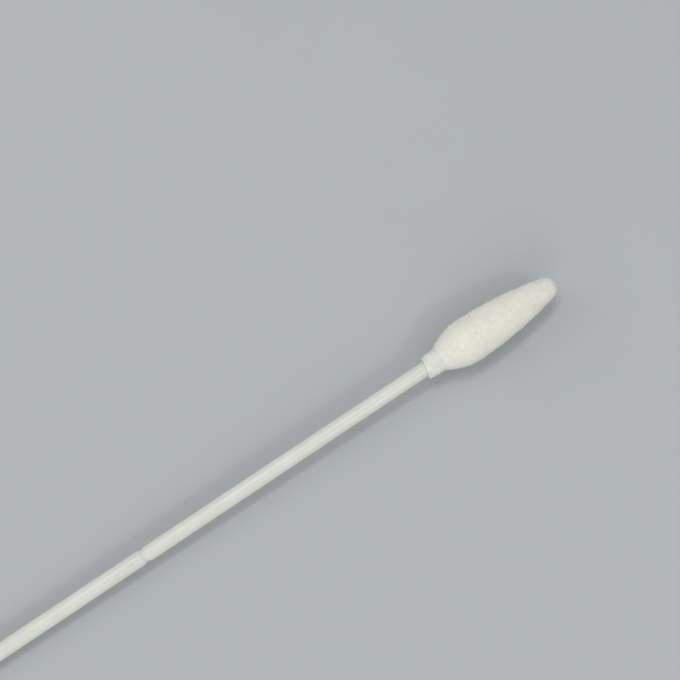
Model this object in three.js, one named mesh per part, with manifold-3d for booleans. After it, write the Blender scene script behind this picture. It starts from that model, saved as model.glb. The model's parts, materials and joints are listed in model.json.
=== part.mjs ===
// Flocked specimen swab, lying at rest on the plane z = 0. Millimetres, +Z up.
// +X runs from the handle to the nose of the head; the origin is under the middle of the swab.
// One moulded plastic shaft carries a breakpoint groove and a bulb-shaped core. A thin coat of
// adhesive covers the core and a short length of shaft behind it, and short fibres of one length
// stand on the adhesive as a pile, so coat and pile follow the core at a constant distance.
import * as THREE from "three";
import { mergeVertices } from "three/addons/utils/BufferGeometryUtils.js";
import Module from "manifold-3d";

// Shaft
const swabLength = 150; // handle's end face to the nose of the pile
const shaftDiameter = 2.5;
const handleEdgeRadius = 0.2; // rounded edge of the handle's end face
const breakToNose = 80; // middle of the breakpoint groove to the nose of the pile
const grooveWidth = 1.15;
const grooveDepth = 0.18;

// Moulded core of the head
const coreDiameter = 6.1; // at its widest ring
const coreNoseRadius = 1.2;
const coreNoseToWidest = 17.2;
const shoulderRadius = 10.1; // curve from the widest ring down to the shaft

// Adhesive and pile
const adhesiveThickness = 0.1;
const pileHeight = 0.65; // of the fibres above the adhesive
const collarLength = 2.9; // covered length of plain shaft behind the core
const collarSlant = THREE.MathUtils.degToRad(12.3); // lean of the pile's back edge
const pressDepth = 0.12; // how far the pile gives way where it rests

// Fineness of the round shapes
const sides = 36; // a multiple of four, so that the lowest line of every turned piece has vertices
const noseSteps = 6;
const flankSteps = 9;
const shoulderSteps = 7;
const grooveSteps = 6;
const edgeSteps = 3;

// Worked out from the values above
const shaftRadius = shaftDiameter / 2;
const coreRadius = coreDiameter / 2;
const pileCover = adhesiveThickness + pileHeight;
const coreNoseX = swabLength - pileCover;
const widestX = coreNoseX - coreNoseToWidest;
const breakX = swabLength - breakToNose;
const grooveRadius = (grooveWidth ** 2 / 4 + grooveDepth ** 2) / (2 * grooveDepth);
const noseSpan = coreNoseToWidest - coreNoseRadius;
// The flank is the one arc that is level at the widest ring and runs smoothly into the nose.
const flankRadius =
  (noseSpan ** 2 + coreRadius ** 2 - coreNoseRadius ** 2) / (2 * (coreRadius - coreNoseRadius));
const flankSweep = Math.asin(noseSpan / (flankRadius - coreNoseRadius));

// Centres of the head's arcs, as x along the axis and y out from it
const noseCentre = new THREE.Vector2(coreNoseX - coreNoseRadius, 0);
const flankCentre = new THREE.Vector2(widestX, coreRadius - flankRadius);
const shoulderCentre = new THREE.Vector2(widestX, coreRadius - shoulderRadius);

const wasm = await Module();
wasm.setup();

// A profile point of a turned piece, which LatheGeometry takes as radius and height.
function at(along, radius) {
  return new THREE.Vector2(radius, along);
}

// Profile points of an arc; its angles count from straight out of the axis towards the nose.
function arc(centre, radius, from, to, steps) {
  return Array.from({ length: steps + 1 }, (_, i) => {
    const angle = THREE.MathUtils.lerp(from, to, i / steps);
    return at(centre.x + radius * Math.sin(angle), centre.y + radius * Math.cos(angle));
  });
}

// Angle through which the shoulder turns before it meets the shaft, under a cover.
function shoulderSweep(cover) {
  return Math.acos((shaftRadius + cover - shoulderCentre.y) / (shoulderRadius + cover));
}

// The head from its nose back to the shaft, with every surface moved outwards by the cover.
function headProfile(cover) {
  const sweep = shoulderSweep(cover);
  return [
    at(coreNoseX + cover, 0),
    ...arc(noseCentre, coreNoseRadius + cover, Math.PI / 2, flankSweep, noseSteps).slice(1),
    ...arc(flankCentre, flankRadius + cover, flankSweep, 0, flankSteps).slice(1),
    ...arc(shoulderCentre, shoulderRadius + cover, 0, -sweep, shoulderSteps).slice(1),
  ];
}

// Where the bare core meets the shaft, and where coat and pile end behind it.
const coreBackX = widestX - shoulderRadius * Math.sin(shoulderSweep(0));
const collarEdgeX = coreBackX - collarLength;

// The rounded edge of the handle's end face.
function handleEdge() {
  const radius = Math.min(handleEdgeRadius, shaftRadius);
  const centre = new THREE.Vector2(radius, shaftRadius - radius);
  return arc(centre, radius, -Math.PI / 2, 0, edgeSteps);
}

// The breakpoint: a shallow groove of round section all the way about the shaft.
function breakGroove() {
  const centre = new THREE.Vector2(breakX, shaftRadius - grooveDepth + grooveRadius);
  const sweep = Math.asin(grooveWidth / 2 / grooveRadius);
  return arc(centre, grooveRadius, Math.PI + sweep, Math.PI - sweep, grooveSteps);
}

// The cup between two covers: closed over the nose and open at its back edge on the shaft.
function cupProfile(inner, outer) {
  return [
    ...headProfile(outer),
    at(collarEdgeX, shaftRadius + outer),
    at(collarEdgeX, shaftRadius + inner),
    ...headProfile(inner).reverse(),
  ];
}

// The solid that a profile makes when it is turned about the swab's axis, along +X.
function turned(profile) {
  return new THREE.LatheGeometry(profile, sides).rotateZ(-Math.PI / 2);
}

// Leans the back edge of a cup, so that it ends nearer the handle on the -Y side.
function leanBackEdge(geometry) {
  const position = geometry.getAttribute("position");
  for (let i = 0; i < position.count; i++) {
    const x = position.getX(i);
    if (x <= collarEdgeX + 1e-3) position.setX(i, x + Math.tan(collarSlant) * position.getY(i));
  }
  return geometry;
}

// A closed geometry as a manifold-3d solid, for cutting.
function solidOf(geometry) {
  const bare = geometry.clone();
  bare.deleteAttribute("normal");
  bare.deleteAttribute("uv");
  const welded = mergeVertices(bare);
  const vertProperties = new Float32Array(welded.getAttribute("position").array);
  const triVerts = new Uint32Array(welded.index.array);
  return new wasm.Manifold(new wasm.Mesh({ numProp: 3, vertProperties, triVerts }));
}

// A manifold-3d solid as a geometry.
function geometryOf(solid) {
  const mesh = solid.getMesh();
  const geometry = new THREE.BufferGeometry();
  geometry.setAttribute("position", new THREE.BufferAttribute(mesh.vertProperties, 3));
  geometry.setIndex(new THREE.BufferAttribute(mesh.triVerts, 1));
  const faceted = geometry.toNonIndexed();
  faceted.computeVertexNormals();
  return faceted;
}

// The swab's lean and height at rest, on the edge of its handle and the pile's shoulder: the
// line that touches both of these arcs from below, let into the pile by the press depth.
function restPose() {
  const edgeRadius = Math.min(handleEdgeRadius, shaftRadius);
  const run = widestX - edgeRadius;
  const rise = shoulderCentre.y - (shaftRadius - edgeRadius);
  const growth = shoulderRadius + pileCover - pressDepth - edgeRadius;
  const lean = Math.atan2(rise, run) + Math.asin(growth / Math.hypot(run, rise));
  const axisHeight = edgeRadius + (shaftRadius - edgeRadius) * Math.cos(lean) -
    edgeRadius * Math.sin(lean);
  return { lean, axisHeight };
}

// Cuts off what lies below the resting plane, in the frame of the lying swab.
function pressedFlat(geometry, lying) {
  const room = 2 * swabLength;
  const below = new THREE.BoxGeometry(room, room, room);
  below.translate(0, 0, -room / 2);
  below.applyMatrix4(lying.matrix.clone().invert());
  return geometryOf(solidOf(geometry).subtract(solidOf(below)));
}

// One moulding: handle, breakpoint groove and core of the head.
function makeShaft() {
  const profile = [at(0, 0), ...handleEdge(), ...breakGroove(), ...headProfile(0).reverse()];
  const material = new THREE.MeshStandardMaterial({
    color: 0xecebe5,
    roughness: 0.32,
    metalness: 0,
  });
  const shaft = new THREE.Mesh(turned(profile), material);
  shaft.name = "shaft";
  return shaft;
}

// The cured adhesive that holds the roots of the fibres.
function makeAdhesiveCoat() {
  const material = new THREE.MeshStandardMaterial({
    color: 0xe6e1c8,
    roughness: 0.6,
    metalness: 0,
  });
  const profile = cupProfile(0, adhesiveThickness).reverse();
  const coat = new THREE.Mesh(leanBackEdge(turned(profile)), material);
  coat.name = "adhesive_coat";
  return coat;
}

// The pile of standing fibres, as one soft solid with a small flat spot where it rests.
function makeFlockTip(lying) {
  const material = new THREE.MeshStandardMaterial({
    color: 0xf1f0e8,
    roughness: 0.95,
    metalness: 0,
  });
  const profile = cupProfile(adhesiveThickness, pileCover).reverse();
  const pile = new THREE.Mesh(pressedFlat(leanBackEdge(turned(profile)), lying), material);
  pile.name = "flock_tip";
  return pile;
}

const pose = restPose();
const swab = new THREE.Group();
swab.rotation.y = -pose.lean;
swab.position.z = pose.axisHeight;
swab.updateMatrix();
swab.add(makeShaft(), makeAdhesiveCoat(), makeFlockTip(swab));

// The origin goes under the middle of the swab's length.
const middle = new THREE.Box3().setFromObject(swab, true).getCenter(new THREE.Vector3());
swab.position.x = -middle.x;

const specimenSwab = new THREE.Group();
specimenSwab.add(swab);
export default specimenSwab;
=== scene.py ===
"""Look of a flocked specimen swab that lies at rest: shaft moulding, adhesive film and pile.

Everything is in metres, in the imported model's own frame. The swab's axis, its length and the head's
widths are read from that model. The shaft's radius, the arcs of the head and the pile's own facts are
fields below.
"""
import json
import logging
import math
from dataclasses import dataclass, field, fields
from enum import Enum

import bpy
import numpy as np
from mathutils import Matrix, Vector, noise
from mathutils.kdtree import KDTree


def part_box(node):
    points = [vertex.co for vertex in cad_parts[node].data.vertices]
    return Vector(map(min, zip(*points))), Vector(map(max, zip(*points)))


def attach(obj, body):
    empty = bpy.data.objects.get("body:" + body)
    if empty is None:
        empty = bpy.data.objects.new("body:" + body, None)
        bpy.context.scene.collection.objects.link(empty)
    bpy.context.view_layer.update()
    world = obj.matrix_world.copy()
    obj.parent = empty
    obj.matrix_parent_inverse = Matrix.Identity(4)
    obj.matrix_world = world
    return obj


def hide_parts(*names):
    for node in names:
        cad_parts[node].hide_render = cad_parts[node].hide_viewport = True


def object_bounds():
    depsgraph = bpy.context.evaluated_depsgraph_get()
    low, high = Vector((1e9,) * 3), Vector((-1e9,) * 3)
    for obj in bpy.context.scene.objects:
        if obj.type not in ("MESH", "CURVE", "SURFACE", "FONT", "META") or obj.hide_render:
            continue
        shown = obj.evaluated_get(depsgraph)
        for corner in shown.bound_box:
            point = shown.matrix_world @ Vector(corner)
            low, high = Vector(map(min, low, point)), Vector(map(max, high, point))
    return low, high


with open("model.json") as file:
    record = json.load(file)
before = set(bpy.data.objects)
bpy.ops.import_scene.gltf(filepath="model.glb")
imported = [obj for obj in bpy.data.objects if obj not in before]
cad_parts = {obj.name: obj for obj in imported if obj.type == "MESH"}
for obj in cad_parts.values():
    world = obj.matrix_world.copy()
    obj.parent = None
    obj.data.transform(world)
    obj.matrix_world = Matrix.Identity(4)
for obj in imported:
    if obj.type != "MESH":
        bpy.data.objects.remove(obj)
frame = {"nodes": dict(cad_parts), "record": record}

CAD_BOUNDS = [list(corner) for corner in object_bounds()]
MM = 0.001
BODY = "root"
GOLDEN_ANGLE = math.pi * (3.0 - math.sqrt(5.0))
SHARP_ANGLE = math.radians(50.0)  # bends beyond it are shaded as edges
HIDDEN_FINENESS = 0.4  # share of the usual points for a side that is covered
NOISE_SPAN = (0.3, 0.7)  # what a noise pattern mostly keeps within
COLOUR_SPAN = (0.35, 0.65)  # the part of it over which a colour changes

Array = np.ndarray
Piece = bpy.types.Object
Socket = bpy.types.NodeSocket
Shared = dict[str, Array]  # what fibres have in common with their tufts, by name

log = logging.getLogger("swab")


class Slot(Enum):
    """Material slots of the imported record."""

    SHAFT = "shaft_plastic"
    ADHESIVE = "adhesive"
    FIBRE = "flock_fibre"


class CadNode(Enum):
    """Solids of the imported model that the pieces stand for."""

    SHAFT = "shaft"
    ADHESIVE = "adhesive_coat"
    PILE = "flock_tip"


class PileMark(Enum):
    """Values stored on the pile's points for its finish, and the name of its map."""

    WHITENESS = "whiteness"
    # tone: painted shade, darker on the collar and towards the nose, and on the fibres random tones too
    TONE = "tone"
    MAP = "OFBake"


# ---- Shader building ----


@dataclass
class ShaderGraph:
    """A material's node graph with short calls for adding and joining nodes."""

    name: str

    def __post_init__(self) -> None:
        """Makes the material with an empty graph and its output node."""
        self.material = bpy.data.materials.new(self.name)
        self.material.use_nodes = True
        self.tree = self.material.node_tree
        self.tree.nodes.clear()
        self.output = self.add("ShaderNodeOutputMaterial")

    def add(self, kind: str, **settings: object) -> bpy.types.Node:
        """Adds one node.

        Args:
            kind: Blender's type name of the node.
            settings: Properties to set on it.

        Returns:
            The new node.
        """
        node = self.tree.nodes.new(kind)
        for key, value in settings.items():
            setattr(node, key, value)
        return node

    def join(self, source: Socket, target: Socket) -> None:
        """Links an output socket to an input socket."""
        self.tree.links.new(source, target)

    def finish(self, **sockets: object) -> bpy.types.Material:
        """Adds the main surface shader and joins it to the output.

        Args:
            sockets: Constants and patterns by socket name, with underscores for spaces.

        Returns:
            The finished material.
        """
        shader = self.add("ShaderNodeBsdfPrincipled")
        for key, value in sockets.items():
            target = shader.inputs[key.replace("_", " ")]
            if isinstance(value, Socket):
                self.join(value, target)
            else:
                target.default_value = value
        self.join(shader.outputs["BSDF"], self.output.inputs["Surface"])
        return self.material

    def noise(self, scale: float, detail: float = 2.0, stretch: float = 1.0) -> Socket:
        """Adds a noise pattern that is fixed to the piece.

        Args:
            scale: Waves for each metre.
            detail: Octaves.
            stretch: Factor on the scale along the swab.

        Returns:
            The socket with values from 0 to 1.
        """
        mapping = self.add("ShaderNodeMapping")
        mapping.inputs["Scale"].default_value = (stretch, 1.0, 1.0)
        self.join(self.add("ShaderNodeTexCoord").outputs["Object"], mapping.inputs["Vector"])
        node = self.add("ShaderNodeTexNoise")
        node.inputs["Scale"].default_value = scale
        node.inputs["Detail"].default_value = detail
        self.join(mapping.outputs["Vector"], node.inputs["Vector"])
        return node.outputs["Fac"]

    def between(self, value: Socket, old: tuple[float, float], new: tuple[float, float]) -> Socket:
        """Maps a value from one range to another.

        Args:
            value: The socket to map.
            old: Start and end of its range.
            new: Start and end of the new range.

        Returns:
            The mapped socket.
        """
        node = self.add("ShaderNodeMapRange")
        for key, limit in zip(("From Min", "From Max", "To Min", "To Max"), (*old, *new)):
            node.inputs[key].default_value = limit
        self.join(value, node.inputs["Value"])
        return node.outputs["Result"]

    def ramp(self, value: Socket, places: tuple[float, ...], colours: tuple[tuple, ...]) -> Socket:
        """Adds a colour ramp.

        Args:
            value: The socket that picks the colour.
            places: Values from 0 to 1.
            colours: Linear colours at those values.

        Returns:
            The colour socket.
        """
        node = self.add("ShaderNodeValToRGB")
        elements = node.color_ramp.elements
        for place in places[1:-1]:
            elements.new(place)
        for element, place, colour in zip(elements, places, colours):
            element.position = place
            element.color = (*colour, 1.0)
        self.join(value, node.inputs["Fac"])
        return node.outputs["Color"]

    def scaled(self, colour: Socket, factor: Socket) -> Socket:
        """Adds the product of a colour and a number.

        Args:
            colour: The colour socket.
            factor: The number's socket.

        Returns:
            The new colour socket.
        """
        node = self.add("ShaderNodeVectorMath", operation="SCALE")
        self.join(colour, node.inputs[0])
        self.join(factor, node.inputs["Scale"])
        return node.outputs[0]

    def bump(self, height: Socket, depth: float, below: Socket | None = None) -> Socket:
        """Adds a bump of a given depth.

        Args:
            height: The pattern, from 0 to 1.
            depth: Height of the bump in metres.
            below: The normal that it is laid over.

        Returns:
            The normal socket.
        """
        node = self.add("ShaderNodeBump")
        node.inputs["Distance"].default_value = depth
        self.join(height, node.inputs["Height"])
        if below is not None:
            self.join(below, node.inputs["Normal"])
        return node.outputs["Normal"]


@dataclass(frozen=True)
class ShaftPlastic:
    """White injection-moulded plastic: softly glossy, with faint flow streaks along the shaft."""

    light: tuple = (0.708, 0.721, 0.675)
    dark: tuple = (0.678, 0.691, 0.647)
    roughness: tuple = (0.17, 0.29)
    streak_scale: float = 1800.0
    streak_stretch: float = 0.08
    grain_scale: float = 9000.0
    cloud_scale: float = 160.0
    streak_depth: float = 0.009 * MM
    grain_depth: float = 0.0015 * MM

    def material(self) -> bpy.types.Material:
        """Builds the material.

        Returns:
            The material.
        """
        graph = ShaderGraph("shaft_plastic_finish")
        streaks = graph.noise(self.streak_scale, detail=3.0, stretch=self.streak_stretch)
        grain = graph.noise(self.grain_scale, detail=3.0)
        return graph.finish(
            Base_Color=graph.ramp(graph.noise(self.cloud_scale), COLOUR_SPAN, (self.dark, self.light)),
            Roughness=graph.between(streaks, NOISE_SPAN, self.roughness),
            IOR=1.5,
            Subsurface_Weight=0.85,
            Subsurface_Scale=1.5 * MM,
            Subsurface_Radius=(1.0, 0.95, 0.85),
            Normal=graph.bump(grain, self.grain_depth, graph.bump(streaks, self.streak_depth)),
        )


@dataclass(frozen=True)
class CuredAdhesive:
    """Thin cured adhesive: cream, slightly uneven, with a dull shine."""

    light: tuple = (0.80, 0.77, 0.62)
    dark: tuple = (0.68, 0.63, 0.46)
    roughness: tuple = (0.45, 0.65)
    mottle_scale: float = 1500.0
    dimple_scale: float = 7000.0
    dimple_depth: float = 0.01 * MM

    def material(self) -> bpy.types.Material:
        """Builds the material.

        Returns:
            The material.
        """
        graph = ShaderGraph("cured_adhesive_finish")
        mottle = graph.noise(self.mottle_scale, detail=3.0)
        return graph.finish(
            Base_Color=graph.ramp(mottle, COLOUR_SPAN, (self.dark, self.light)),
            Roughness=graph.between(mottle, NOISE_SPAN, self.roughness),
            IOR=1.48,
            Subsurface_Weight=0.2,
            Subsurface_Scale=0.2 * MM,
            Normal=graph.bump(graph.noise(self.dimple_scale), self.dimple_depth),
        )


@dataclass(frozen=True)
class NylonPile:
    """Fine white fibres: cream deep in the pile, where light is scattered often, and white at their ends."""

    deep: tuple = (0.90, 0.868, 0.725)
    middle: tuple = (0.915, 0.903, 0.815)
    end: tuple = (0.918, 0.923, 0.90)
    middle_place: float = 0.45
    roughness: float = 0.6
    # range of the colour's factor for the tone, which carries painted shade
    tones: tuple = (0.86, 1.0)

    def colour(self, graph: ShaderGraph) -> Socket:
        """Adds the colour by how white the pile is and by its tone, which carries painted shade, at each
        point.

        Args:
            graph: The graph that it is added to.

        Returns:
            The colour socket.
        """
        white, tone = (graph.add("ShaderNodeAttribute", attribute_name=name.value).outputs["Fac"]
                       for name in (PileMark.WHITENESS, PileMark.TONE))
        hue = graph.ramp(white, (0.0, self.middle_place, 1.0), (self.deep, self.middle, self.end))
        # the tone darkens the colour: random tones and painted shade on the collar and towards the nose
        return graph.scaled(hue, graph.between(tone, (0.0, 1.0), self.tones))


@dataclass(frozen=True)
class FibreFinish(NylonPile):
    """Single fibres, each of a slightly different tone, with painted shade on the collar and towards the
    nose.
    """

    def material(self) -> bpy.types.Material:
        """Builds the material.

        Returns:
            The material.
        """
        graph = ShaderGraph("nylon_fibre_finish")
        return graph.finish(Base_Color=self.colour(graph), Roughness=self.roughness)


@dataclass(frozen=True)
class PileGroundFinish(NylonPile):
    """The pile between the fibres' ends: soft, cream and finely speckled, with painted shade on the collar
    and towards the nose.
    """

    speckle_scale: float = 9000.0
    cloud_scale: float = 700.0
    sum_span: tuple = (0.7, 1.3)
    shades: tuple = (0.95, 1.0)
    speckle_depth: float = 0.02 * MM

    def material(self) -> bpy.types.Material:
        """Builds the material.

        Returns:
            The material.
        """
        graph = ShaderGraph("pile_ground_finish")
        speckle = graph.noise(self.speckle_scale)
        both = graph.add("ShaderNodeMath", operation="ADD")
        graph.join(graph.noise(self.cloud_scale, detail=3.0), both.inputs[0])
        graph.join(speckle, both.inputs[1])
        shade = graph.between(both.outputs[0], self.sum_span, self.shades)
        return graph.finish(
            Base_Color=graph.scaled(self.colour(graph), shade),
            Roughness=0.9,
            Specular_IOR_Level=0.2,
            Normal=graph.bump(speckle, self.speckle_depth),
        )


@dataclass(frozen=True)
class BenchTop:
    """Plain pale bench top that the swab lies on."""

    colour: tuple = (0.45, 0.475, 0.49)
    lighter: float = 1.02
    cloud_scale: float = 30.0

    def material(self) -> bpy.types.Material:
        """Builds the material.

        Returns:
            The material.
        """
        graph = ShaderGraph("bench_top_finish")
        clouds = graph.noise(self.cloud_scale, detail=3.0)
        lighter = tuple(channel * self.lighter for channel in self.colour)
        return graph.finish(
            Base_Color=graph.ramp(clouds, NOISE_SPAN, (self.colour, lighter)),
            Roughness=0.75,
            Specular_IOR_Level=0.2,
        )


# ---- Form ----


@dataclass
class SwabAxis:
    """The lying swab's own axis, from the middle of the handle's end face towards the nose."""

    origin: Array
    along: Array
    left: Array = field(default_factory=lambda: np.array([0.0, 1.0, 0.0]))

    def __post_init__(self) -> None:
        """Works out the direction that is square to the axis and points up."""
        self.up = np.cross(self.along, self.left)

    @classmethod
    def from_record(cls, record: dict) -> "SwabAxis":
        """Reads the axis from the mount on the handle's end face.

        Args:
            record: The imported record.

        Returns:
            The axis.
        """
        mount = next(m for m in record["mounts"] if m["name"] == "handle_end")
        along = -np.array(mount["axis"], float)
        return cls(np.array(mount["pos_m"], float), along / np.linalg.norm(along))

    def radial(self, angle: Array) -> Array:
        """Unit vectors square to the axis; angle 0 points left and a quarter turn points up."""
        return np.cos(angle)[..., None] * self.left + np.sin(angle)[..., None] * self.up

    def points(self, along: Array, radius: Array, angle: Array) -> Array:
        """Points in the model's frame from places along, out from and about the axis."""
        return self.origin + along[..., None] * self.along + radius[..., None] * self.radial(angle)

    def ends(self, *lines: "Outline") -> Array:
        """The last points of lines that run to the axis."""
        return np.stack([self.origin + line.along[-1] * self.along for line in lines])

    def reach(self, node: CadNode) -> float:
        """How far the solid of a node reaches along the axis."""
        corners = np.array([v.co for v in frame["nodes"][node.value].data.vertices], float)
        return float(((corners - self.origin) @ self.along).max())


@dataclass
class Outline:
    """A line to turn about the axis: places along and out from it, with their outward normals."""

    along: Array
    radius: Array
    normal_along: Array
    normal_radius: Array

    def area(self) -> Array:
        """Works out the area of the turned surface.

        Returns:
            The area up to each point, starting from 0.
        """
        steps = np.hypot(np.diff(self.along), np.diff(self.radius))
        rings = math.pi * (self.radius[1:] + self.radius[:-1]) * steps
        return np.concatenate([[0.0], np.cumsum(rings)])

    def turned(self, sides: int) -> tuple[Array, ...]:
        """Spreads the line about the axis, without its last point, which lies on the axis.

        Args:
            sides: Number of places about the axis.

        Returns:
            Place along, angle about, radius and the normal's two parts, as rings by sides.
        """
        along, about = np.meshgrid(self.along[:-1], angles(sides), indexing="ij")
        rest = (self.radius, self.normal_along, self.normal_radius)
        return along, about, *(np.repeat(part[:-1, None], sides, 1) for part in rest)


def angles(sides: int) -> Array:
    """Even places about the axis."""
    return np.arange(sides) * 2 * math.pi / sides


@dataclass
class HeadForm:
    """Arcs of the head's moulded core, which film and pile follow at a constant distance."""

    core_radius: float
    core_nose: float
    shaft_radius: float = 1.25 * MM
    nose_radius: float = 1.2 * MM
    nose_to_widest: float = 17.2 * MM
    shoulder_radius: float = 10.1 * MM
    collar_length: float = 2.9 * MM
    collar_slant: float = math.radians(12.3)
    straight_points: int = 12
    shoulder_points: int = 24
    flank_points: int = 48
    nose_points: int = 24

    def __post_init__(self) -> None:
        """Works out the flank, the one arc level at the widest ring and smooth into the nose."""
        span = self.nose_to_widest - self.nose_radius
        rise = self.core_radius - self.nose_radius
        self.widest = self.core_nose - self.nose_to_widest
        self.flank_radius = (span**2 + self.core_radius**2 - self.nose_radius**2) / (2 * rise)
        self.flank_sweep = math.asin(span / (self.flank_radius - self.nose_radius))
        self.core_back = self.widest - self.shoulder_radius * math.sin(self.shoulder_sweep(0.0))
        self.collar_edge = self.core_back - self.collar_length

    def shoulder_sweep(self, cover: float) -> float:
        """Angle through which the shoulder turns before it meets the shaft, under a cover."""
        height = self.shaft_radius + cover - (self.core_radius - self.shoulder_radius)
        return math.acos(height / (self.shoulder_radius + cover))

    def slanted(self, along: Array, radius: Array, about: Array) -> Array:
        """Places along the axis after the collar's slant, which fades out from its edge to the core."""
        near_edge = np.clip(1 - (along - self.collar_edge) / self.collar_length, 0.0, 1.0)
        return along + near_edge * math.tan(self.collar_slant) * radius * np.cos(about)

    def outline(self, cover: float, start: float, fineness: float = 1.0) -> Outline:
        """The head's line from a place on the shaft to the nose, moved outwards by a cover.

        Args:
            cover: Distance from the moulded core.
            start: Place along the axis where the line starts.
            fineness: Factor on the number of points.

        Returns:
            The outline.
        """
        sweep = self.shoulder_sweep(cover)
        arcs = [
            (self.widest, self.core_radius - self.shoulder_radius, self.shoulder_radius, -sweep, 0.0,
             self.shoulder_points),
            (self.widest, self.core_radius - self.flank_radius, self.flank_radius, 0.0, self.flank_sweep,
             self.flank_points),
            (self.core_nose - self.nose_radius, 0.0, self.nose_radius, self.flank_sweep, math.pi / 2,
             self.nose_points),
        ]
        straight_end = self.widest - (self.shoulder_radius + cover) * math.sin(sweep)
        count = int(self.straight_points * fineness)
        straight = np.linspace(start, straight_end, count, endpoint=False)
        parts = [(straight, np.full(count, self.shaft_radius + cover), np.zeros(count), np.ones(count))]
        for centre_along, centre_radius, size, first, last, steps in arcs:
            angle = np.linspace(first, last, int(steps * fineness) + 1)
            if first > -sweep:
                angle = angle[1:]
            along, out = np.sin(angle), np.cos(angle)
            radius = np.maximum(centre_radius + (size + cover) * out, 0.0)
            parts.append((centre_along + (size + cover) * along, radius, along, out))
        return Outline(*(np.concatenate(part) for part in zip(*parts)))


def new_piece(name: str, vertices: Array, faces: list, smooth: bool = True) -> Piece:
    """Makes a mesh object from arrays.

    Args:
        name: Name of the piece.
        vertices: Corner points, one row each.
        faces: Arrays of faces, each with one row of vertex numbers for each face.
        smooth: Whether the faces are shaded as a round surface.

    Returns:
        The object, in the scene.
    """
    mesh = bpy.data.meshes.new(name)
    loops = np.concatenate([part.ravel() for part in faces])
    sizes = np.concatenate([np.full(len(part), part.shape[1]) for part in faces])
    mesh.vertices.add(len(vertices))
    mesh.vertices.foreach_set("co", vertices.astype(np.float32).ravel())
    mesh.loops.add(len(loops))
    mesh.loops.foreach_set("vertex_index", loops.astype(np.int32))
    mesh.polygons.add(len(sizes))
    starts = np.concatenate([[0], np.cumsum(sizes)[:-1]])
    mesh.polygons.foreach_set("loop_start", starts.astype(np.int32))
    mesh.polygons.foreach_set("use_smooth", np.full(len(sizes), smooth))
    mesh.update(calc_edges=True)
    mesh.validate()
    piece = bpy.data.objects.new(name, mesh)
    bpy.context.scene.collection.objects.link(piece)
    return piece


def mark(mesh: bpy.types.Mesh, name: PileMark, values: Array) -> None:
    """Stores one number for each point of a mesh."""
    mesh.attributes.new(name.value, "FLOAT", "POINT").data.foreach_set("value", values.astype(np.float32))


def dress(piece: Piece, finish: bpy.types.Material, node: CadNode) -> Piece:
    """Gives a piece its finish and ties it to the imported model.

    Args:
        piece: The new piece.
        finish: Its material.
        node: The solid that the piece stands for.

    Returns:
        The same piece.
    """
    piece.data.materials.append(finish)
    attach(piece, BODY)
    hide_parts(node.value)
    return piece


def turned_body(name: str, rings: Array, ends: Array) -> Piece:
    """Makes a closed body from rings of points and the two points that close it on the axis.

    Args:
        name: Name of the piece.
        rings: Points as rings, sides and coordinates, so that an outside runs to the nose.
        ends: The points beyond the first and the last ring.

    Returns:
        The object, in the scene.
    """
    count, sides = rings.shape[:2]
    number = np.arange(count * sides).reshape(count, sides)
    beside = np.roll(number, -1, axis=1)
    quads = np.stack([number[:-1], beside[:-1], beside[1:], number[1:]], -1).reshape(-1, 4)
    first, last = np.full(sides, number.size), np.full(sides, number.size + 1)
    caps = np.stack([[beside[0], number[0], first], [number[-1], beside[-1], last]])
    faces = [quads, caps.transpose(0, 2, 1).reshape(-1, 3)]
    piece = new_piece(name, np.concatenate([rings.reshape(-1, 3), ends]), faces)
    piece.data.set_sharp_from_angle(angle=SHARP_ANGLE)
    return piece


# ---- Sub-assemblies ----


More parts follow.
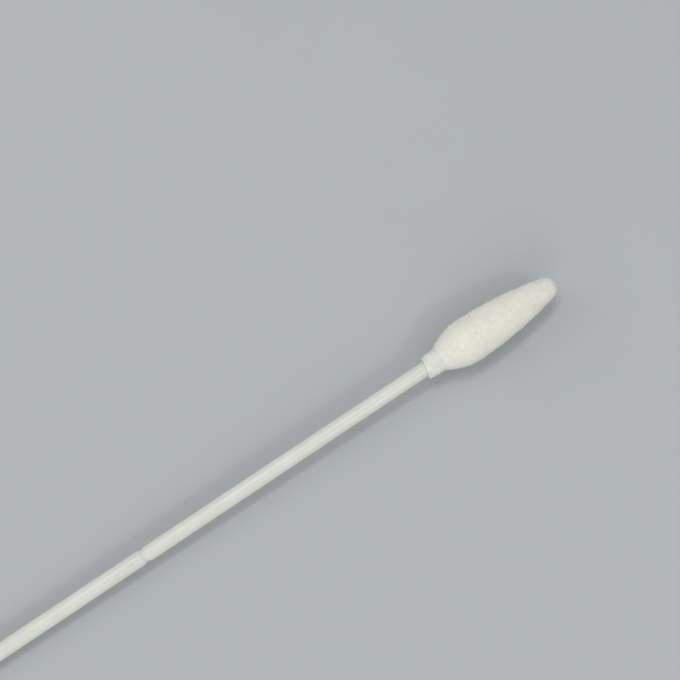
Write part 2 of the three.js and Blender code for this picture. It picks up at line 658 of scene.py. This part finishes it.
@dataclass
class ShaftMoulding:
    """The one moulding: handle, breakpoint groove and the core hidden in the head."""

    axis: SwabAxis
    form: HeadForm
    nose: float
    break_to_nose: float = 80.0 * MM
    groove_width: float = 1.15 * MM
    groove_depth: float = 0.18 * MM
    groove_lip: float = 0.06 * MM
    lip_softness: float = 0.25
    edge_radius: float = 0.2 * MM
    edge_points: int = 7
    handle_points: int = 12
    groove_points: int = 25
    front_points: int = 10
    core_fineness: float = 0.5
    sides: int = 96

    def profile(self) -> tuple[Array, Array]:
        """Works out the moulding's line from the handle's end face to the core's nose.

        Returns:
            Places along the axis and out from it.
        """
        radius = self.form.shaft_radius
        quarter = np.linspace(0.0, math.pi / 2, self.edge_points)
        edge_along = self.edge_radius * (1 - np.cos(quarter))
        edge_radius = radius - self.edge_radius + self.edge_radius * np.sin(quarter)
        groove_along, groove_radius = self.groove()
        handle = np.linspace(self.edge_radius, groove_along[0], self.handle_points + 2)[1:-1]
        front = np.linspace(groove_along[-1], self.form.collar_edge, self.front_points + 2)[1:-1]
        core = self.form.outline(0.0, self.form.collar_edge, self.core_fineness)
        along = [edge_along, handle, groove_along, front, core.along[:-1]]
        out = [edge_radius, np.full(self.handle_points, radius), groove_radius,
               np.full(self.front_points, radius), core.radius[:-1]]
        return np.concatenate(along), np.concatenate(out)

    def groove(self) -> tuple[Array, Array]:
        """Works out the breakpoint: a shallow round groove whose lips are slightly eased.

        Returns:
            Places along the axis and out from it.
        """
        centre = self.nose - self.break_to_nose
        half = self.groove_width / 2 + self.groove_lip
        place = np.linspace(-half, half, self.groove_points)
        bend = (self.groove_width**2 / 4 + self.groove_depth**2) / (2 * self.groove_depth)
        floor = self.form.shaft_radius - self.groove_depth + bend
        arc = floor - np.sqrt(np.maximum(bend**2 - place**2, 0.0))
        over = (self.form.shaft_radius - arc) / (self.lip_softness * self.groove_depth)
        softened = np.where(over > 1.0, over, np.where(over < -1.0, 0.0, (over + 1.0) ** 2 / 4.0))
        return centre + place, self.form.shaft_radius - softened * self.lip_softness * self.groove_depth

    def build(self) -> Piece:
        """Builds the moulding as one closed turned mesh.

        Returns:
            The piece.
        """
        along, radius = self.profile()
        along, about = np.meshgrid(along, angles(self.sides), indexing="ij")
        ends = self.axis.points(np.array([0.0, self.form.core_nose]), np.zeros(2), np.zeros(2))
        return turned_body("shaft_moulding", self.axis.points(along, radius[:, None], about), ends)

    def make(self) -> Piece:
        """Builds and dresses the moulding."""
        return dress(self.build(), ShaftPlastic().material(), CadNode.SHAFT)


@dataclass
class AdhesiveFilm:
    """The cured film on the core that holds the fibres, slightly uneven and closed over the nose."""

    axis: SwabAxis
    form: HeadForm
    thickness: float
    unevenness: float = 0.015 * MM
    slow_wave: tuple = (3, 0.7 * MM)
    quick_wave: tuple = (5, -0.4 * MM)
    sides: int = 96

    def build(self) -> Piece:
        """Builds the film as a closed cup with its back edge on the shaft.

        Returns:
            The piece.
        """
        outer = self.form.outline(self.thickness, self.form.collar_edge)
        inner = self.form.outline(0.0, self.form.collar_edge, HIDDEN_FINENESS)
        rings = [self.shell(inner, 0.0)[::-1], self.shell(outer, self.unevenness)]
        return turned_body("adhesive_film", np.concatenate(rings), self.axis.ends(inner, outer))

    def shell(self, line: Outline, swell: float) -> Array:
        """Works out one side of the film, with waves that wind about the axis.

        Args:
            line: Its outline.
            swell: Height of its unevenness.

        Returns:
            The points as rings, sides and coordinates.
        """
        along, about, radius, _, _ = line.turned(self.sides)
        slow, quick = (np.sin(turns * about + along / pitch)
                       for turns, pitch in (self.slow_wave, self.quick_wave))
        radius = radius + swell * (slow * quick) * np.minimum(radius / self.form.shaft_radius, 1.0)
        return self.axis.points(self.form.slanted(along, radius, about), radius, about)

    def make(self) -> Piece:
        """Builds and dresses the film."""
        return dress(self.build(), CuredAdhesive().material(), CadNode.ADHESIVE)


@dataclass
class Planting:
    """Places on the film, spread evenly over its area."""

    roots: Array
    normals: Array
    inside: Array
    share: Array

    def part(self, chosen: Array) -> "Planting":
        """The places that a mask chooses."""
        return Planting(*(getattr(self, one.name)[chosen] for one in fields(self)))


@dataclass
class PlantingGround:
    """The film's surface as the place where fibres and tufts are set out.

    White and the painted shade are tables by share of the surface's area, from the collar to the nose.
    """

    axis: SwabAxis
    form: HeadForm
    film: float
    fineness: float = 8.0
    scatter: float = 0.3
    white_at: tuple = (0.0, 0.03, 0.12, 0.70, 0.90, 1.0)
    white: tuple = (0.80, 0.70, 0.0, 0.0, 0.25, 0.50)
    # painted shade: the pile darker on the collar and, where the light falls off, towards the nose
    bright_at: tuple = (0.0, 0.02, 0.045, 0.10, 0.25, 0.60, 0.85, 1.0)
    bright: tuple = (1.00, 0.64, 0.64, 0.76, 0.96, 0.95, 0.82, 0.70)

    def __post_init__(self) -> None:
        """Works out the surface's line and its area, a little beyond the collar's edge."""
        spare = self.form.shaft_radius * 2 * math.tan(self.form.collar_slant)
        self.line = self.form.outline(self.film, self.form.collar_edge - spare, self.fineness)
        self.area = self.line.area()

    def root_whiteness(self, share: Array) -> Array:
        """How white the pile is at its roots: most at the collar, some at the nose, not on the belly."""
        return np.interp(share, self.white_at, self.white)

    def brightness(self, share: Array) -> Array:
        """How bright the pile is, from 0 to 1: painted shade that darkens the collar and, where the light
        falls off, the nose.
        """
        return np.interp(share, self.bright_at, self.bright)

    def plant(self, random: np.random.Generator, count: int) -> Planting:
        """Sets out places in a golden-angle spiral, scattered by a share of their spacing.

        Args:
            random: Source of the scatter.
            count: Number of places.

        Returns:
            The places.
        """
        total = self.area[-1]
        spacing = math.sqrt(total / count)
        line, number = self.line, np.arange(count)
        share = (number + 0.5) / count * total
        radius = np.interp(share, self.area, line.radius)
        stray = random.normal(0.0, self.scatter * spacing, (2, count))
        about = number * GOLDEN_ANGLE + stray[0] / np.maximum(radius, spacing)
        share = np.clip(share + stray[1] * 2 * math.pi * radius, 0.0, total)
        along, radius, lift, out = (np.interp(share, self.area, part) for part in
                                    (line.along, line.radius, line.normal_along, line.normal_radius))
        normals = lift[:, None] * self.axis.along + out[:, None] * self.axis.radial(about)
        normals /= np.linalg.norm(normals, axis=1)[:, None]
        edge = self.form.collar_edge + math.tan(self.form.collar_slant) * radius * np.cos(about)
        return Planting(self.axis.points(along, radius, about), normals, along - edge, share / total)


@dataclass
class PileGround:
    """The dense lower part of the pile, where the fibres stand too close to be told apart."""

    ground: PlantingGround
    height: float
    share: float = 0.72
    brighten: float = 0.25
    edge_back: float = 0.09 * MM
    edge_run: float = 1.0 * MM
    edge_power: float = 2.5
    tuft_size: float = 0.42 * MM
    tuft_rise: float = 0.03 * MM
    grain_size: float = 0.13 * MM
    grain_rise: float = 0.03 * MM
    clearance: float = 0.05 * MM
    sides: int = 256
    fineness: float = 2.9

    def build(self) -> Piece:
        """Builds the ground as a closed cup over the film, with an uneven outside.

        Returns:
            The piece, with its two marks.
        """
        rise = self.share * self.height
        form, film = self.ground.form, self.ground.film
        outer = form.outline(film + rise, form.collar_edge - self.edge_back, self.fineness)
        inner = form.outline(film, form.collar_edge + self.edge_back / 2, HIDDEN_FINENESS)
        rings = [self.shell(inner, 0.0)[::-1], self.shell(outer, rise)]
        piece = turned_body("flock_ground", np.concatenate(rings), self.ground.axis.ends(inner, outer))
        covered, seen = (line.area()[:-1] / line.area()[-1] for line in (inner, outer))
        share = np.append(np.repeat(np.append(covered[::-1], seen), self.sides), [1.0, 1.0])
        mark(piece.data, PileMark.WHITENESS,
             self.brighten + (1 - self.brighten) * self.ground.root_whiteness(share))
        # the ground's tone is painted shade only: darker on the collar and towards the nose
        mark(piece.data, PileMark.TONE, self.ground.brightness(share))
        return piece

    def shell(self, line: Outline, rise: float) -> Array:
        """Works out one side of the ground, whose outside ramps up from the shaft behind the collar.

        Args:
            line: Its outline.
            rise: Mean height above the film.

        Returns:
            The points as rings, sides and coordinates.
        """
        along, about, radius, lift, out = line.turned(self.sides)
        form, axis = self.ground.form, self.ground.axis
        if rise == 0.0:
            return axis.points(form.slanted(along, radius, about), radius, about)
        full = np.clip((along - form.collar_edge + self.edge_back) / self.edge_run, 0.0, 1.0)
        radius = radius - (rise + self.ground.film) * (1 - full) ** self.edge_power
        base = axis.points(form.slanted(along, radius, about), radius, about)
        normal = lift[..., None] * axis.along + out[..., None] * axis.radial(about)
        points = base + normal * (full * self.unevenness(base))[..., None]
        points[..., 2] = np.maximum(points[..., 2], self.clearance)
        return points

    def unevenness(self, points: Array) -> Array:
        """Works out the tufts and the grain of the outside.

        Args:
            points: Where to work them out.

        Returns:
            A height for each point.
        """
        flat = points.reshape(-1, 3)
        tufts, grain = (np.array([noise.noise(Vector(place / size)) for place in flat])
                        for size in (self.tuft_size, self.grain_size))
        return (tufts * self.tuft_rise + grain * self.grain_rise).reshape(points.shape[:-1])

    def make(self) -> Piece:
        """Builds and dresses the ground."""
        return dress(self.build(), PileGroundFinish().material(), CadNode.PILE)


@dataclass
class FibreCrop:
    """Fibres as root points, directions and lengths, with what their finish reads.

    Shading takes velvet as the share of the film's normal and adds lift upwards. Fibres more upright
    than steep start their sides from another axis. On the map each fibre has a cell with three strips
    side by side and two end caps.
    """

    roots: Array
    directions: Array
    lengths: Array
    # tone of each fibre, which carries painted shade
    tones: Array
    normals: Array
    whites: Array
    root_radius: float = 0.015 * MM
    tip_radius: float = 0.012 * MM
    velvet: float = 0.4
    lift: float = 0.2
    steep: float = 0.9
    turn_by_tone: float = 61.0
    strip_start: float = 0.05
    strip_width: float = 0.25
    strip_ends: tuple = (0.08, 0.92)
    cap_across: tuple = (0.83, 0.97, 0.90)
    cap_along: tuple = ((0.60, 0.60, 0.92), (0.08, 0.08, 0.40))

    def part(self, chosen: Array) -> "FibreCrop":
        """The fibres that a mask chooses."""
        arrays = (self.roots, self.directions, self.lengths, self.tones, self.normals, self.whites)
        return FibreCrop(*(part[chosen] for part in arrays))

    def build(self, name: str) -> Piece:
        """Builds every fibre as a closed three-sided rod.

        Args:
            name: Name of the piece.

        Returns:
            The piece, with its map and its two marks.
        """
        count = len(self.roots)
        level = np.abs(self.directions[:, 2:]) < self.steep
        across = np.cross(self.directions, np.where(level, [[0.0, 0.0, 1.0]], [[1.0, 0.0, 0.0]]))
        across /= np.linalg.norm(across, axis=1)[:, None]
        beyond = np.cross(self.directions, across)
        turn = self.tones[:, None] * self.turn_by_tone + angles(3)
        spoke = np.cos(turn)[..., None] * across[:, None] + np.sin(turn)[..., None] * beyond[:, None]
        tips = self.roots + self.directions * self.lengths[:, None]
        low = self.roots[:, None] + self.root_radius * spoke
        high = tips[:, None] + self.tip_radius * spoke
        vertices = np.concatenate([low, high], 1).reshape(-1, 3)
        start = np.arange(count)[:, None, None] * 6
        sides = np.array([[0, 1, 4, 3], [1, 2, 5, 4], [2, 0, 3, 5]])
        ends = np.array([[3, 4, 5], [2, 1, 0]])
        faces = [(start + sides).reshape(-1, 4), (start + ends).reshape(-1, 3)]
        piece = new_piece(name, vertices, faces)
        self.paint(piece.data, count)
        self.map(piece.data, count)
        facing = self.velvet * self.normals[:, None] + (1 - self.velvet) * spoke
        facing[..., 2] += self.lift
        facing /= np.linalg.norm(facing, axis=2)[..., None]
        facing = np.concatenate([facing, facing], 1).reshape(-1, 3)
        piece.data.normals_split_custom_set_from_vertices(facing.tolist())
        return piece

    def paint(self, mesh: bpy.types.Mesh, count: int) -> None:
        """Stores how white each corner is, which grows along the fibre, and each fibre's tone with its
        painted shade.

        Args:
            mesh: The fibres' mesh.
            count: Number of fibres.
        """
        corners = np.stack([self.whites] * 3 + [np.ones(count)] * 3, -1)
        mark(mesh, PileMark.WHITENESS, corners.ravel())
        mark(mesh, PileMark.TONE, np.repeat(self.tones, 6))

    def map(self, mesh: bpy.types.Mesh, count: int) -> None:
        """Gives each fibre its own cell of the map.

        Args:
            mesh: The fibres' mesh.
            count: Number of fibres.
        """
        columns = math.ceil(math.sqrt(count))
        cell = 1.0 / columns
        corner = np.stack([np.arange(count) % columns, np.arange(count) // columns], -1) * cell
        foot, head = self.strip_ends
        starts = [self.strip_start + self.strip_width * number for number in range(3)]
        strips = [[(start, foot), (start + self.strip_width, foot), (start + self.strip_width, head),
                   (start, head)] for start in starts]
        caps = [list(zip(self.cap_across, along)) for along in self.cap_along]
        quads = corner[:, None, None] + cell * np.array(strips)
        triangles = corner[:, None, None] + cell * np.array(caps)
        layer = mesh.uv_layers.new(name=PileMark.MAP.value)
        layer.data.foreach_set("uv", np.concatenate([quads.ravel(), triangles.ravel()]).astype(np.float32))


@dataclass(frozen=True)
class TuftSize:
    """One size of tuft: how far apart they are and how much their fibres have in common.

    Proud is the share of the tufts that stand above the rest, by up to growth of the pile's height.
    Tone is how much darker a tuft may be, and pull the range of how far its fibres lean to its tip.
    """

    spacing: float
    pull: tuple
    lean: float
    growth: float
    proud: float
    tone: float


@dataclass
class FlockPile:
    """The pile: fibres of one length that stand on the film, gather in tufts and end at the collar.

    Zones are the pieces that it is kept in, each with the share of the area where it ends.
    """

    ground: PlantingGround
    height: float
    density: float = 200.0 / MM**2
    depth: float = 0.03 * MM
    length_factor: float = 0.845
    nose_length: float = 1.07
    nose_zone: tuple = (0.88, 0.97)
    length_spread: float = 0.035
    least_growth: float = 0.5
    scatter: float = 0.12
    swirl: float = 0.035
    swirl_waves: tuple = (1.3 * MM, 2.9 * MM)
    swirl_count: int = 5
    fray: float = 0.06 * MM
    tuft_fray: float = 0.7 * MM
    edge_length: float = 0.8
    splay_run: float = 0.8 * MM
    splay_range: tuple = (0.1, 0.6)
    splay_power: float = 1.5
    stray_share: float = 0.05
    stray_length: float = 0.35
    own_tone: float = 0.12
    least_clearance: float = 0.004 * MM
    clearance_spread: float = 0.02 * MM
    seed: int = 11
    tufts: tuple = (
        TuftSize(spacing=0.50 * MM, pull=(0.00, 0.15), lean=0.05, growth=0.05, proud=0.50, tone=0.04),
        TuftSize(spacing=0.24 * MM, pull=(0.12, 0.40), lean=0.06, growth=0.12, proud=0.20, tone=0.03),
        TuftSize(spacing=0.17 * MM, pull=(0.20, 0.60), lean=0.10, growth=0.36, proud=0.08, tone=0.02),
    )
    zones: tuple = (("flock_collar", 0.115), ("flock_shoulder", 0.36), ("flock_belly", 0.60),
                    ("flock_flank", 0.82), ("flock_nose", 1.0))

    def grow(self) -> tuple[FibreCrop, Array]:
        """Places all fibres.

        Returns:
            The fibres, and each one's place from the back edge to the nose, as a share of the area.
        """
        random = np.random.default_rng(self.seed)
        total = self.ground.area[-1]
        planted = self.ground.plant(random, int(total * self.density))
        groups = [self.group(random, size, planted) for size in self.tufts]
        fray = sum(group["growth"] for group in groups) * self.tuft_fray
        ragged = np.maximum(fray + random.normal(0.0, self.fray, len(planted.roots)), 0.0)
        kept = planted.inside > ragged
        fibres = planted.part(kept)
        groups = [{key: value[kept] for key, value in group.items()} for group in groups]
        directions = self.directions(random, fibres, groups)
        lengths = self.lengths(random, groups)
        lengths *= np.interp(fibres.inside / self.splay_run, [0.0, 1.0], [self.edge_length, 1.0])
        lengths *= np.interp(fibres.share, self.nose_zone, [1.0, self.nose_length])
        roots = fibres.roots - fibres.normals * self.depth
        tips = self.gather(roots, roots + directions * lengths[:, None], groups)
        rest = self.least_clearance + self.clearance_spread * random.random(len(tips))
        tips[:, 2] = np.maximum(tips[:, 2], rest)
        reach = tips - roots
        size = np.linalg.norm(reach, axis=1)
        tones = self.own_tone * random.random(len(roots)) + sum(group["tone"] for group in groups)
        # each fibre's tone: painted shade, darker on the collar and towards the nose, less its random tones
        tones = self.ground.brightness(fibres.share) - tones
        whites = self.ground.root_whiteness(fibres.share)
        return FibreCrop(roots, reach / size[:, None], size, tones, fibres.normals, whites), fibres.share

    def group(self, random: np.random.Generator, size: TuftSize, fibres: Planting) -> Shared:
        """Sets out the tufts of one size and gives each fibre what its tuft has in common.

        Args:
            random: Source of the scatter.
            size: The tufts' size.
            fibres: The fibres' places.

        Returns:
            Arrays by name, with one row for each fibre.
        """
        total = self.ground.area[-1]
        places = self.ground.plant(random, int(total / size.spacing**2))
        count = len(places.roots)
        lean = random.normal(0.0, size.lean, (count, 3))
        upright = places.normals + lean
        upright /= np.linalg.norm(upright, axis=1)[:, None]
        least = self.least_growth
        common = {
            "lean": lean,
            "tip": places.roots + upright * self.height,
            "pull": random.uniform(*size.pull, count),
            "growth": size.growth * (random.random(count) < size.proud) * random.uniform(least, 1.0, count),
            "tone": size.tone * random.random(count),
        }
        tree = KDTree(count)
        for number, place in enumerate(places.roots):
            tree.insert(Vector(place), number)
        tree.balance()
        nearest = np.array([tree.find(Vector(place))[1] for place in fibres.roots])
        return {key: value[nearest] for key, value in common.items()}

    def directions(self, random: np.random.Generator, fibres: Planting, groups: list[Shared]) -> Array:
        """Directions of the fibres before they gather.

        Args:
            random: Source of the scatter.
            fibres: The fibres' places.
            groups: What the fibres share, for each size of tuft.

        Returns:
            Unit vectors.
        """
        count = len(fibres.roots)
        lean = random.normal(0.0, self.scatter, (count, 3)) + sum(group["lean"] for group in groups)
        for wave in self.swirl_waves:
            for _ in range(self.swirl_count):
                way = random.normal(0.0, 1.0, 3)
                way *= 2 * math.pi / wave / np.linalg.norm(way)
                phase = random.random() * 2 * math.pi
                lean += self.swirl * np.sin(fibres.roots @ way + phase)[:, None] * random.normal(0, 1, 3)
        free = np.clip(1 - fibres.inside / self.splay_run, 0.0, 1.0)
        splay = free**self.splay_power * random.uniform(*self.splay_range, count)
        back = splay[:, None] * self.ground.axis.along
        directions = fibres.normals + lean - back
        return directions / np.linalg.norm(directions, axis=1)[:, None]

    def lengths(self, random: np.random.Generator, groups: list[Shared]) -> Array:
        """Lengths of the fibres, a few of which stand proud because they sit on others.

        Args:
            random: Source of the scatter.
            groups: What the fibres share, for each size of tuft.

        Returns:
            Lengths from the root to the tip.
        """
        growth = self.length_factor + sum(group["growth"] for group in groups)
        growth = growth + random.normal(0.0, self.length_spread, len(growth))
        proud = random.random(len(growth)) < self.stray_share
        growth = growth + proud * random.random(len(growth)) * self.stray_length
        return (self.height + self.depth) * growth

    def gather(self, roots: Array, tips: Array, groups: list[Shared]) -> Array:
        """Draws the tips of each tuft's fibres together.

        Args:
            roots: Root points.
            tips: Tips before.
            groups: What the fibres share, for each size of tuft.

        Returns:
            Tips after, with each fibre as long as it was.
        """
        size = np.linalg.norm(tips - roots, axis=1)[:, None]
        for group in groups:
            reach = tips + group["pull"][:, None] * (group["tip"] - tips) - roots
            tips = roots + reach * size / np.linalg.norm(reach, axis=1)[:, None]
        return tips

    def make(self) -> list[Piece]:
        """Grows the pile and makes its zones, each as a piece of its own.

        Returns:
            The pieces, from the collar to the nose.
        """
        crop, share = self.grow()
        finish = FibreFinish().material()
        pieces = []
        start = 0.0
        for name, stop in self.zones:
            piece = crop.part((share > start) & (share <= stop)).build(name)
            pieces.append(dress(piece, finish, CadNode.PILE))
            start = stop
        return pieces


# ---- Studio ----


@dataclass(frozen=True)
class Lamp:
    """A soft rectangular lamp above the swab, with its long side along it.

    Its tilt turns it about the swab from straight above towards the left, in degrees, and forward
    moves it towards the nose. Distance is its height before the tilt.
    """

    name: str
    tilt: float
    forward: float
    length: float
    width: float
    power: float
    distance: float = 0.7

    def make(self, target: Vector) -> None:
        """Places the lamp.

        Args:
            target: The point that it is aimed at.
        """
        tilt = math.radians(self.tilt)
        away = Vector((self.forward, math.sin(tilt) * self.distance, math.cos(tilt) * self.distance))
        data = bpy.data.lights.new(self.name, "AREA")
        data.shape = "RECTANGLE"
        data.size, data.size_y = self.length, self.width
        data.energy = self.power
        lamp = bpy.data.objects.new(self.name, data)
        lamp.location = target + away
        lamp.rotation_mode = "QUATERNION"
        lamp.rotation_quaternion = (-away).to_track_quat("-Z", "Y")
        bpy.context.scene.collection.objects.link(lamp)


@dataclass
class Studio:
    """Bench, soft light and the camera that looks down on the swab, which lies along x."""

    nose: float
    azimuth: float = -34.12
    elevation: float = 70.71
    distance: float = 159.99 * MM
    lens: float = 50.0
    aim_behind_nose: float = 34.76 * MM
    aim_left: float = 12.99 * MM
    sensor_width: float = 36.0
    nearest: float = 0.005
    farthest: float = 20.0
    bench_size: float = 3.0
    sky: tuple = (1.0, 1.0, 1.0)
    sky_strength: float = 0.57
    lamps: tuple = (
        Lamp("left_lamp", tilt=17.0, forward=-0.04, length=0.50, width=0.10, power=1.00),
        Lamp("right_lamp", tilt=-45.0, forward=0.14, length=0.26, width=0.10, power=0.60),
        Lamp("left_fill", tilt=46.0, forward=-0.55, length=0.50, width=0.40, power=0.85),
        Lamp("right_fill", tilt=-58.0, forward=-0.55, length=0.50, width=0.40, power=1.55),
    )

    def camera(self) -> None:
        """Makes the camera that frames the head and most of the shaft."""
        aim = Vector((self.nose - self.aim_behind_nose, self.aim_left, 0.0))
        turn, lift = math.radians(self.azimuth), math.radians(self.elevation)
        back = Vector((math.sin(turn) * math.cos(lift), -math.cos(turn) * math.cos(lift), math.sin(lift)))
        data = bpy.data.cameras.new("camera")
        data.lens = self.lens
        data.sensor_width = self.sensor_width
        data.clip_start, data.clip_end = self.nearest, self.farthest
        camera = bpy.data.objects.new("camera", data)
        camera.location = aim + back * self.distance
        camera.rotation_mode = "QUATERNION"
        camera.rotation_quaternion = (-back).to_track_quat("-Z", "Y")
        bpy.context.scene.collection.objects.link(camera)
        bpy.context.scene.camera = camera

    def bench(self) -> None:
        """Makes the plain bench top."""
        half = self.bench_size / 2
        corners = np.array([[-half, -half, 0], [half, -half, 0], [half, half, 0], [-half, half, 0]], float)
        piece = new_piece("bench_top", corners, [np.array([[0, 1, 2, 3]])], smooth=False)
        piece.data.materials.append(BenchTop().material())

    def light(self) -> None:
        """Places the lamps and the sky."""
        target = Vector((self.nose - self.aim_behind_nose, 0.0, 0.0))
        for lamp in self.lamps:
            lamp.make(target)
        world = bpy.data.worlds.new("sky")
        bpy.context.scene.world = world
        world.use_nodes = True
        background = world.node_tree.nodes["Background"]
        background.inputs["Color"].default_value = (*self.sky, 1.0)
        background.inputs["Strength"].default_value = self.sky_strength

    def make(self) -> None:
        """Makes the whole setting."""
        self.camera()
        self.bench()
        self.light()
        bpy.context.scene.view_settings.view_transform = "Standard"


def main() -> None:
    """Builds the swab and its setting in order, and reports each piece."""
    logging.basicConfig(level=logging.INFO, format="%(name)s: %(message)s")
    axis = SwabAxis.from_record(frame["record"])
    half_width = {node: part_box(node.value)[1].y for node in CadNode}
    film = half_width[CadNode.ADHESIVE] - half_width[CadNode.SHAFT]
    height = half_width[CadNode.PILE] - half_width[CadNode.ADHESIVE]
    nose = axis.reach(CadNode.PILE)
    form = HeadForm(core_radius=half_width[CadNode.SHAFT], core_nose=axis.reach(CadNode.SHAFT))
    ground = PlantingGround(axis, form, film)
    Studio(nose=CAD_BOUNDS[1][0]).make()
    pieces = [
        ShaftMoulding(axis, form, nose).make(),
        AdhesiveFilm(axis, form, film).make(),
        PileGround(ground, height).make(),
        *FlockPile(ground, height).make(),
    ]
    for piece in pieces:
        log.info("%s: %d vertices, %d faces", piece.name, len(piece.data.vertices), len(piece.data.polygons))


if __name__ == "__main__":
    main()
